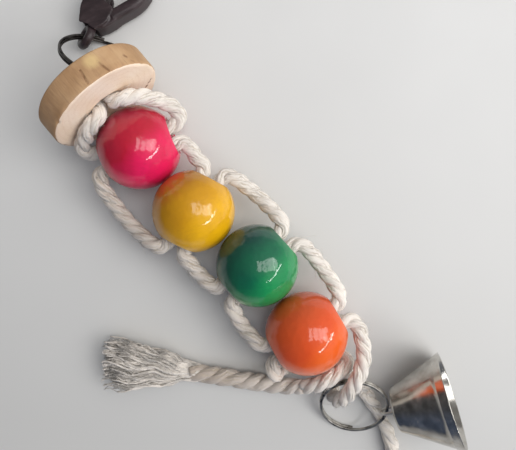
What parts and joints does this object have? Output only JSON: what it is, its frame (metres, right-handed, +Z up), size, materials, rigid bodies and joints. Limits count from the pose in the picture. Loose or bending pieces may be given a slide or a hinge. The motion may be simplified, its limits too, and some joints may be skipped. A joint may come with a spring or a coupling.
{
  "type": "bird toy",
  "caption": "Hanging bird toy: lacquered wooden beads and a bored wooden disc on crossed cotton cord, with a snap hook and a bell.",
  "frame": {"origin": "on the floor under the middle of the toy, its free cord ends left out", "axes": "+X from the hook end towards the bell end, +Z up from the floor, +Y to the side the hook and the bell's mouth point to"},
  "size_m": [0.2523, 0.1201, 0.042],
  "materials": {
    "plastic": "moulded, satin",
    "steel": "dark spring steel",
    "bare_wood": "sawn, unvarnished",
    "pink_wood": "gloss lacquer",
    "yellow_wood": "gloss lacquer",
    "green_wood": "gloss lacquer",
    "orange_wood": "gloss lacquer",
    "cotton": "undyed laid cotton",
    "nickel": "bright nickel plate"
  },
  "bodies": {
    "string": {"rope": "cotton", "long_tail": "cotton", "long_tassel": "cotton", "second_tail": "cotton", "second_tassel": "cotton"},
    "disc": {"wood_disc": "bare_wood"},
    "pink_bead": {"bead_pink": "pink_wood"},
    "yellow_bead": {"bead_yellow": "yellow_wood"},
    "green_bead": {"bead_green": "green_wood"},
    "orange_bead": {"bead_orange": "orange_wood"},
    "upper_ring": {"upper_ring": "steel"},
    "swivel_eye": {"swivel_eye": "plastic"},
    "hook": {"hook_body": "plastic", "gate_pin": "steel", "gate_spring": "steel"},
    "hook_gate": {"hook_gate": "plastic"},
    "lower_ring": {"lower_ring": "steel"},
    "bell": {"bell_shell": "nickel", "bell_staple": "nickel"},
    "clapper": {"clapper_rod": "nickel", "clapper_ball": "nickel"}
  },
  "joints": [
    {"name": "disc_spin", "type": "hinge", "parent": "string", "child": "disc", "pos_m": [-0.0588, -0.0112, 0.021], "axis": [0.9994, -0.0349, 0], "continuous": true},
    {"name": "pink_spin", "type": "hinge", "parent": "string", "child": "pink_bead", "pos_m": [-0.0429, -0.0133, 0.0149], "axis": [0.3746, 0.9272, 0], "continuous": true},
    {"name": "yellow_spin", "type": "hinge", "parent": "string", "child": "yellow_bead", "pos_m": [-0.01281, -0.0139, 0.0149], "axis": [-0.3584, 0.9336, 0], "continuous": true},
    {"name": "green_spin", "type": "hinge", "parent": "string", "child": "green_bead", "pos_m": [0.01704, -0.01, 0.0149], "axis": [0, 1, 0], "continuous": true},
    {"name": "orange_spin", "type": "hinge", "parent": "string", "child": "orange_bead", "pos_m": [0.04698, -0.0131, 0.0149], "axis": [0.2079, 0.9781, 0], "continuous": true},
    {"name": "upper_ring_swing", "type": "hinge", "parent": "string", "child": "upper_ring", "pos_m": [-0.07243, -0.0073, 0.01873], "axis": [0.7128, 0.5933, -0.3739], "range_deg": [-4, 42]},
    {"name": "eye_swing", "type": "hinge", "parent": "upper_ring", "child": "swivel_eye", "pos_m": [-0.0913, -0.0006, 0.00474], "axis": [-0.4446, -0.6886, 0.5728], "range_deg": [-20, 90]},
    {"name": "hook_swivel", "type": "hinge", "parent": "swivel_eye", "child": "hook", "pos_m": [-0.0913, -0.0006, 0.00474], "axis": [-0.3907, 0.9205, 0], "continuous": true},
    {"name": "gate_hinge", "type": "hinge", "parent": "hook", "child": "hook_gate", "pos_m": [-0.09889, 0.01269, 0.00474], "axis": [0, 0, 1], "range_deg": [-32, 0], "stiffness_Nm_per_rad": 0.004, "springref_deg": 20.05},
    {"name": "lower_ring_swing", "type": "hinge", "parent": "string", "child": "lower_ring", "pos_m": [0.07136, -0.01382, 0.01196], "axis": [-0.5125, -0.8271, -0.2309], "range_deg": [0, 64]},
    {"name": "bell_swing", "type": "hinge", "parent": "lower_ring", "child": "bell", "pos_m": [0.09099, -0.01076, 0.00804], "axis": [-0.6065, 0.6527, 0.454], "range_deg": [-30, 20]},
    {"name": "clapper_swing", "type": "hinge", "parent": "bell", "child": "clapper", "pos_m": [0.09329, -0.00531, 0.0102], "axis": [-0.9191, 0.3939, 0], "range_deg": [-90, 0]}
  ]
}
